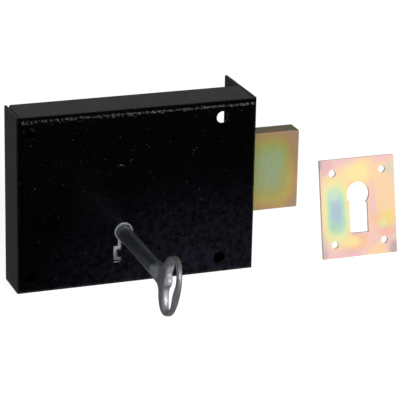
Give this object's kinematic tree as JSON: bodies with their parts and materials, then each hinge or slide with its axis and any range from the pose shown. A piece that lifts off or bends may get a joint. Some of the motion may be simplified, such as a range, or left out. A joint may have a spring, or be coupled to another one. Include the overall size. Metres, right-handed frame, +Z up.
{
  "type": "rim box lock",
  "caption": "Black rim box lock with a thrown square dead bolt, a key in its keyhole and a loose passivated escutcheon.",
  "frame": {"origin": "middle of the fixing holes, on the face that lies against the door", "axes": "+X along the bolt as it is thrown, +Y into the door, +Z up"},
  "size_m": [0.1985, 0.1185, 0.088],
  "materials": {
    "case_paint": "fine wrinkled satin black",
    "passivated_bolt": "yellow passivated zinc",
    "passivated_plate": "pale iridescent zinc",
    "bright_zinc": "bright zinc",
    "key_metal": "dull cast steel",
    "spring_steel": "blued steel"
  },
  "bodies": {
    "case": {"case_shell": "case_paint", "bolt_guide_plate": "bright_zinc", "back_cover": "bright_zinc", "cover_pillars": "bright_zinc", "cover_screws": "passivated_bolt", "bolt_guide_stud": "case_paint", "lever_pivot_post": "bright_zinc", "lever_spacer": "bright_zinc"},
    "drum": {"key_drum": "bright_zinc", "key_curtain": "bright_zinc"},
    "key_piece": {"key": "key_metal"},
    "bolt": {"bolt_head": "passivated_bolt", "bolt_tail": "passivated_bolt", "bolt_rivets": "passivated_bolt", "bolt_stump": "bright_zinc"},
    "lever_in_front": {"front_lever": "bright_zinc", "front_lever_spring": "spring_steel"},
    "lever_behind": {"rear_lever": "bright_zinc", "rear_lever_spring": "spring_steel"},
    "escutcheon_plate": {"escutcheon": "passivated_plate"}
  },
  "joints": [
    {"name": "bolt_slide", "type": "slide", "parent": "case", "child": "bolt", "axis": [-1, 0, 0], "range_m": [0, 0.025]},
    {"name": "key_turn", "type": "hinge", "parent": "case", "child": "drum", "pos_m": [-0.0015, -0.01165, -0.0172], "axis": [0, -1, 0], "range_deg": [0, 360]},
    {"name": "key_withdraw", "type": "slide", "parent": "drum", "child": "key_piece", "axis": [0, -1, 0], "range_m": [0, 0.03]},
    {"name": "front_lever_drop", "type": "hinge", "parent": "case", "child": "lever_in_front", "pos_m": [-0.037, -0.0075, 0.001], "axis": [0, 1, 0], "range_deg": [0, 4], "stiffness_Nm_per_rad": 0.05, "springref_deg": 20.05, "deforming": ["front_lever_spring"]},
    {"name": "rear_lever_drop", "type": "hinge", "parent": "case", "child": "lever_behind", "pos_m": [-0.037, -0.0075, 0.001], "axis": [0, 1, 0], "range_deg": [0, 4], "stiffness_Nm_per_rad": 0.05, "springref_deg": 20.05, "deforming": ["rear_lever_spring"]},
    {"name": "escutcheon_lift", "type": "slide", "parent": "case", "child": "escutcheon_plate", "axis": [0, 0, 1], "range_m": [0, 0.05]}
  ],
  "couplings": [
    {"joint": "key_turn", "follows": "bolt_slide", "rad_per_m": 251.33}
  ]
}
